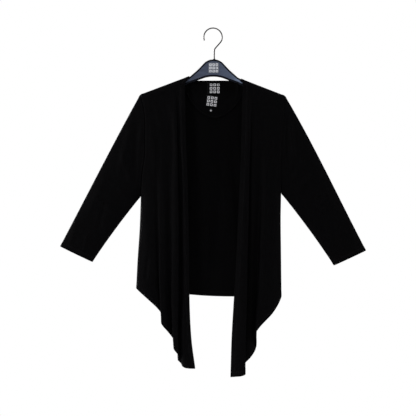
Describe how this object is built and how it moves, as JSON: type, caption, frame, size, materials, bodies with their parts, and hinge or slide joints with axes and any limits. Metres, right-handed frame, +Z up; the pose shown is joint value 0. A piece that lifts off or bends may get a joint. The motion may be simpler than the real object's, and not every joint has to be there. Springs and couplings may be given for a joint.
{
  "type": "tie-front cardigan on a hanger",
  "caption": "Open tie-front cardigan in light jersey with long front points and set-in sleeves, hanging on a moulded hanger with a wire hook.",
  "frame": {"origin": "the inner top of the hook's bend, where it hangs", "axes": "+Z up, the garment's front faces -Y, the wearer's left is at +X"},
  "size_m": [0.88, 0.0603, 1.0021],
  "materials": {
    "jersey": "black light jersey, soft and matte",
    "label": "woven ribbon, plain pattern",
    "hanger": "satin moulded navy plastic",
    "hook": "dull bright steel wire"
  },
  "bodies": {
    "root": {"back_panel": "jersey", "front_right": "jersey", "front_left": "jersey", "sleeve_right": "jersey", "sleeve_left": "jersey", "neck_facing": "jersey", "label_neck": "label", "label_lower": "label", "label_size": "label", "hanger_body": "hanger", "hanger_hook": "hook"}
  },
  "joints": []
}
